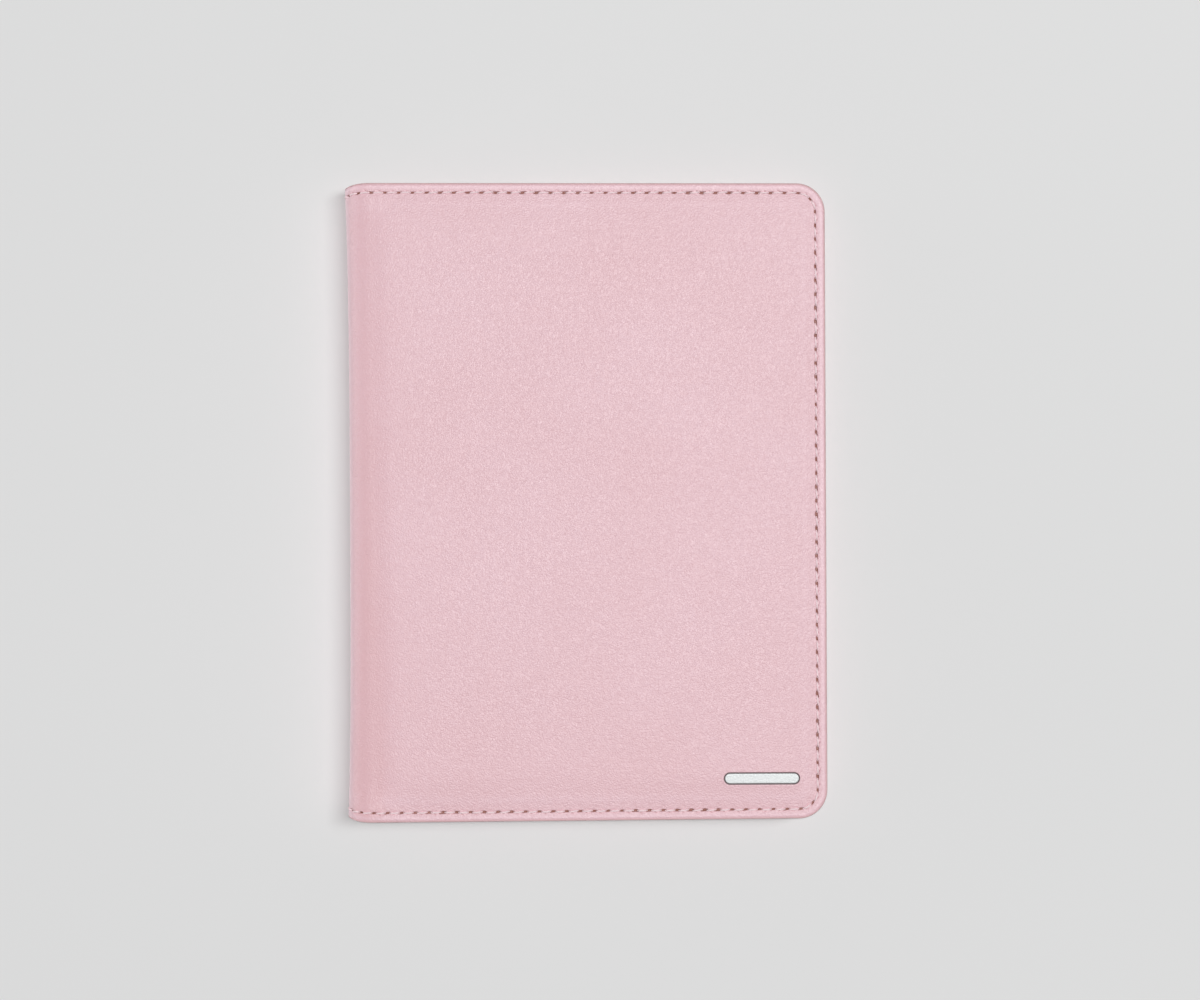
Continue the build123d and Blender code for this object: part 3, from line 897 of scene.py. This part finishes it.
outer_leather = leather_material("outer_leather", 0.38)
inner_leather = leather_material("inner_leather", 0.5, painted=True)
edge_paint = edge_material()
thread = thread_material()
lining = lining_material()
foil = foil_material()
board = board_material()


# ---- build --------------------------------------------------------------------------------
def build_outer_leather():
    inner = inner_points(7.0, 0.0)
    back = outer_skin("leather_back", cover_pattern(STEPS, STRIP_ROWS, inner), False)
    spine = outer_skin("leather_spine", spine_pattern(STEPS, STRIP_ROWS), False)
    marked = cover_pattern(STEPS, STRIP_ROWS, marked_points(inner))
    front = outer_skin("leather_front", marked, True)
    finish_piece(back, "outer_leather", "outer_cover_back", third=0)
    finish_piece(spine, "outer_leather", "outer_cover_spine_1", "outer_cover_spine_2", third=1)
    finish_piece(front, "outer_leather", "outer_cover_front", third=2)


def build_lining():
    cover = cover_pattern(INNER_STEPS, LINING_ROWS, inner_points(10.0, 0.0, rings=False))
    back = lining_piece("lining_cloth_back", cover, False)
    spine = lining_piece("lining_cloth_spine", spine_pattern(INNER_STEPS, LINING_ROWS), False)
    front = lining_piece("lining_cloth_front", cover, True)
    finish_piece(back, "lining", "lining_back", third=0)
    finish_piece(spine, "lining", "lining_spine_1", "lining_spine_2", third=1)
    finish_piece(front, "lining", "lining_front", third=2)


def free_edge(mouth, notch=False):
    """Points of a sleeve's free edge along its mouth, foot to head, ends left out."""
    y_in = half_height(mouth) - STRIP
    points = [(mouth, y) for y in spaced(-y_in, y_in, FREE_STEP)[1:-1]]
    if notch:
        turn = np.linspace(-math.pi / 2, math.pi / 2, 41)
        arc = [(mouth + NOTCH_R * math.cos(a), NOTCH_R * math.sin(a)) for a in turn]
        foot = [p for p in points if p[1] <= -NOTCH_R]
        points = foot + arc + [p for p in points if p[1] >= NOTCH_R]
    return points


def mouth_points(mouth):
    """Points in from a sleeve's mouth, where it lifts."""
    return [(mouth + d, y) for d in MOUTH_ROWS for y in spaced(-MOUTH_HALF, MOUTH_HALF, 1.2)]


def build_back_sleeve():
    """The sleeve with the thumb notch. Its mouth stands up a little in the middle."""
    def lift(s, y):
        far = np.maximum(0, s - BACK_MOUTH)
        return 0.16 * np.exp(-far / 5) * np.cos(math.pi * y / 2 / HALF_HEIGHT) ** 2

    rim_r = NOTCH_R + 0.5
    extra = [p for p in mouth_points(BACK_MOUTH) if math.hypot(p[0] - BACK_MOUTH, p[1]) > rim_r]
    for r in (rim_r, NOTCH_R + 1.2, NOTCH_R + 2.4):
        extra += [(BACK_MOUTH + r * math.cos(a), r * math.sin(a)) for a in np.linspace(-1.4, 1.4, 40)]
    free = free_edge(BACK_MOUTH, notch=True)
    pattern = leaf_pattern(BACK_MOUTH, SEAM - BACK_MOUTH, free, BACK_MOUTH, extra=extra)
    piece = leaf("sleeve_back", pattern, LINING_IN, SLEEVE, lift, False)
    finish_piece(piece, "inner_leather", "passport_sleeve_back", body="back_half")


def build_front_sleeve():
    """The sleeve under the card pockets. Its mouth stands up where no pocket is sewn to it."""
    def lift(s, y):
        far = np.maximum(0, s - FRONT_MOUTH)
        open_part = ease(POCKET_MOUTHS[0], POCKET_MOUTHS[0] + 14, y) * (1 - ease(50, 66, y))
        return 0.18 * np.exp(-far / 5) * open_part

    free, extra = free_edge(FRONT_MOUTH), mouth_points(FRONT_MOUTH)
    pattern = leaf_pattern(FRONT_MOUTH, SEAM - FRONT_MOUTH, free, FRONT_MOUTH, extra=extra)
    piece = leaf("sleeve_front", pattern, LINING_IN, SLEEVE, lift, True)
    finish_piece(piece, "inner_leather", "passport_sleeve_front", body="front_half")


def build_pocket(number, mouth):
    """A card pocket, sewn along three sides. Its mouth stands up in the middle."""
    seam_s, seam_end = FRONT_MOUTH + STITCH_INSET, COVER - STRIP

    def lift(s, y):
        middle = np.clip((s - seam_s) / (COVER - MARGIN - seam_s), 0, 1)
        return POCKET_OPENING * np.exp(-np.maximum(0, mouth - y) / 4) * np.sin(math.pi * middle) ** 2

    y_in = -half_height(FRONT_MOUTH) + STRIP
    free = [(FRONT_MOUTH, y) for y in spaced(y_in, mouth, FREE_STEP)[1:-1]]
    free += [(s, mouth) for s in spaced(FRONT_MOUTH, seam_end, FREE_STEP)[:-1]]
    across = spaced(FRONT_MOUTH + 0.5, seam_end - 0.5, 1.2)
    extra = [(s, mouth - d) for d in MOUTH_ROWS for s in across]
    for off in (-0.8, -0.4, -0.2, 0, 0.2, 0.4, 0.8):
        extra += [(seam_s + off, y) for y in spaced(y_in + 0.5, mouth - 3.6, 0.3)]
    t_low = HEAD_RUN + CORNER_ARC + CORNER_Y - mouth
    pattern = leaf_pattern(
        t_low, SEAM - FRONT_MOUTH, free, FRONT_MOUTH + 3, mouth - 3.4, extra=extra
    )
    piece = leaf(f"pocket_{number}", pattern, SLEEVE_IN + POCKET * (number - 1), POCKET, lift, True)
    finish_piece(piece, "inner_leather", f"card_pocket_{number}", body="front_half")


def build_edges():
    whole = past_bends(spaced(-THIRD, 0, BEAD_STEP), spaced(0, SEAM, BEAD_STEP))
    finish_piece(bead("edge_back", whole), "edge_paint", "edge_finish_back", third=0)
    finish_piece(bead("edge_front", whole, front=True), "edge_paint", "edge_finish_front", third=2)
    bend = spaced(-2 * THIRD, -THIRD, BEAD_STEP)
    head = bead("edge_spine_head", bend, spine=True)
    foot = bead("edge_spine_foot", SEAM - bend[::-1], spine=True)
    finish_piece(head, "edge_paint", "edge_finish_spine_1", "edge_finish_spine_2", third=1)
    finish_piece(foot, "edge_paint", third=1)


def build_stitching():
    counts = np.arange(-1.5, STITCHES + 2)
    middle = (-3.5, -2.5, STITCHES + 2.5, STITCHES + 3.5)
    for front, word in ((False, "back"), (True, "front")):
        for inwards, ending in ((False, ""), (True, "_inside")):
            piece = seam_threads(f"stitches_{word}{ending}", counts, front, inwards)
            finish_piece(piece, "thread", f"seam_stitches_{word}{ending}", third=2 if front else 0)
    for inwards, ending in ((False, ""), (True, "_inside")):
        piece = seam_threads(f"stitches_spine{ending}", middle, False, inwards, spine=True)
        nodes = () if inwards else ("seam_stitches_spine_1", "seam_stitches_spine_2")
        finish_piece(piece, "thread", *nodes, third=1)


def build_pocket_stitching():
    reach = STITCH_SHAPE * THREAD_REACH
    y = side_seam()[:, None] - reach
    s = FRONT_MOUTH + STITCH_INSET - SLANT * reach + 0 * y
    face = SLEEVE_IN + SLEEVE_RISE + POCKET * pockets_over(y)
    piece = threads("stitches_pockets", s, y, face + stitch_rise(reach), True, True)
    finish_piece(piece, "thread", "pocket_stitches", body="front_half")


def build_mark():
    """The stamped foil: a thin plate with soft edges in the leather's recess."""
    profile = ((0.0, 0.19), (-0.02, 0.13), (-0.08, 0.105), (-0.2, 0.1), (-0.5, 0.1), (-0.9, 0.1))
    points, levels, loops = [], [], []
    for offset, level in profile:
        ring = mark_outline(offset)
        loops.append(range(len(points), len(points) + len(ring)))
        points += ring
        levels += [level] * len(ring)
    faces = []
    for outer, inner in zip(loops, loops[1:]):
        for i in range(len(outer)):
            j = (i + 1) % len(outer)
            faces.append([outer[i], outer[j], inner[j], inner[i]])
    faces.append(list(loops[-1]))
    s, y = np.array(points).T
    piece = make_mesh("mark_foil", place(s, y, np.array(levels), True), faces, np.array(points), foil)
    finish_piece(piece, "foil", "foil_bar", body="front_half")


def build_boards():
    for name in ("stiffener_back", "stiffener_front"):
        node = frame["nodes"][name]
        node.data.materials.clear()
        node.data.materials.append(board)


# ---- studio, in metres --------------------------------------------------------------------
FLOOR_HALF, FLOOR_DROP = 2.5, 0.00003           # half its side, and its depth below the holder
WORLD_STRENGTH = 0.06
CAMERA_X, CAMERA_Y, CAMERA_UP = 0.0028, 0.0004, 0.648
CAMERA_ROLL = -0.27      # degrees
CAMERA_LENS, CAMERA_SENSOR = 89.0, 36.0         # millimetres


def build_floor():
    sides = ((-1, -1), (1, -1), (1, 1), (-1, 1))
    corners = [(x * FLOOR_HALF, y * FLOOR_HALF, -FLOOR_DROP) for x, y in sides]
    mesh = bpy.data.meshes.new("floor")
    mesh.from_pydata(corners, [], [(0, 1, 2, 3)])
    mesh.materials.append(floor_material())
    obj = bpy.data.objects.new("floor", mesh)
    bpy.context.scene.collection.objects.link(obj)


def area_light(name, place_m, size, power):
    """A rectangular light that faces the frame's origin."""
    light = bpy.data.lights.new(name, "AREA")
    light.shape = "RECTANGLE"
    light.size, light.size_y = size
    light.energy = power
    obj = bpy.data.objects.new(name, light)
    obj.location = place_m
    obj.rotation_euler = (Vector() - Vector(place_m)).to_track_quat("-Z", "Y").to_euler()
    bpy.context.scene.collection.objects.link(obj)


def build_lights():
    bpy.context.scene.view_settings.view_transform = "Standard"
    world = bpy.data.worlds.new("studio")
    world.use_nodes = True
    background = world.node_tree.nodes["Background"]
    background.inputs["Color"].default_value = rgb(1, 1, 1)
    background.inputs["Strength"].default_value = WORLD_STRENGTH
    bpy.context.scene.world = world
    area_light("overhead", (0.0, 0.1, 2.2), (0.3, 0.3), 24.0)
    area_light("softbox", (0.85, 0.24, 2.2), (0.5, 1.3), 24.5)
    area_light("side_fill", (-1.3, 0.05, 0.09), (1.2, 0.16), 5.8)


def build_camera():
    camera = bpy.data.cameras.new("camera")
    camera.sensor_width = CAMERA_SENSOR
    camera.lens = CAMERA_LENS
    obj = bpy.data.objects.new("camera", camera)
    obj.location = (CAMERA_X, CAMERA_Y, cad_box[1].z + CAMERA_UP)
    obj.rotation_euler = (0, 0, math.radians(CAMERA_ROLL))
    bpy.context.scene.collection.objects.link(obj)
    bpy.context.scene.camera = obj


build_outer_leather()
build_lining()
build_back_sleeve()
build_front_sleeve()
for pocket_number, pocket_mouth in enumerate(POCKET_MOUTHS, 1):
    build_pocket(pocket_number, pocket_mouth)
build_edges()
build_stitching()
build_pocket_stitching()
build_mark()
build_boards()
build_floor()
build_lights()
build_camera()
